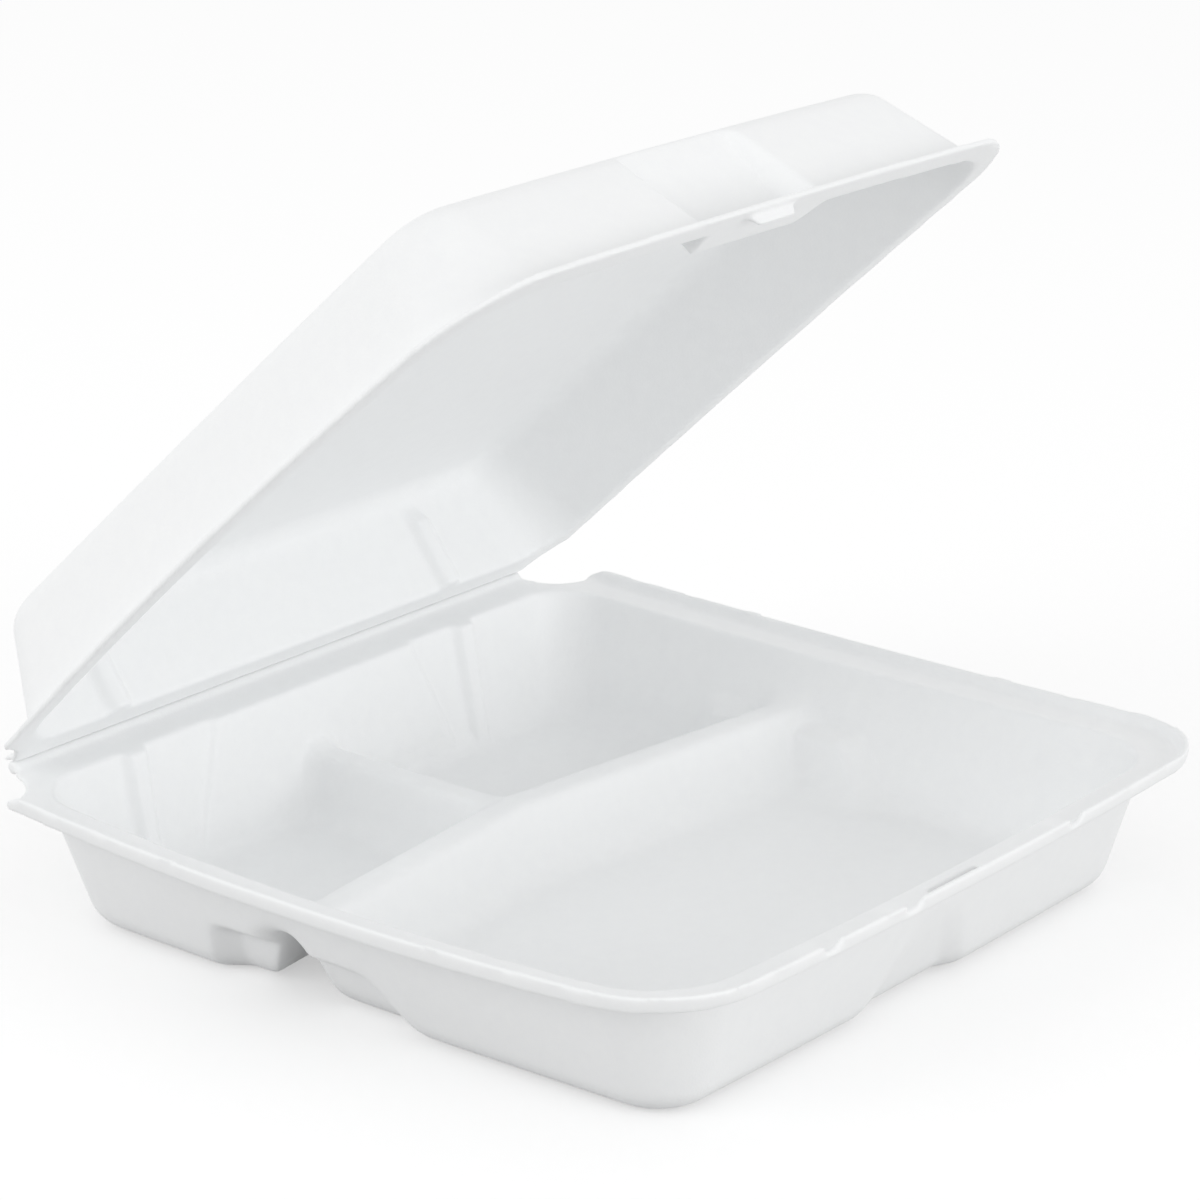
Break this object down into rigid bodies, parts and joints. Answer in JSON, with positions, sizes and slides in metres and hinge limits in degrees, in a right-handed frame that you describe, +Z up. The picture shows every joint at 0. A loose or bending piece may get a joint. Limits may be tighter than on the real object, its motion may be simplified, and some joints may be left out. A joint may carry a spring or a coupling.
{
  "type": "foam clamshell container",
  "caption": "Square white foam take-away container with dividers between its food pockets and a hinged domed lid, standing open.",
  "frame": {"origin": "under the middle of the model's box with the lid open as modelled, on the surface that the tray stands on", "axes": "+X to the right seen from the latch side, +Y towards the hinge, +Z up"},
  "size_m": [0.2476, 0.2362, 0.2012],
  "materials": {
    "foam": "satin"
  },
  "bodies": {
    "tray": {"tray": "foam"},
    "lid": {"lid": "foam"}
  },
  "joints": [
    {"name": "lid_hinge", "type": "hinge", "parent": "tray", "child": "lid", "pos_m": [0, 0.10744, 0.03755], "axis": [-1, 0, 0], "range_deg": [-44.4, 135.6]}
  ]
}
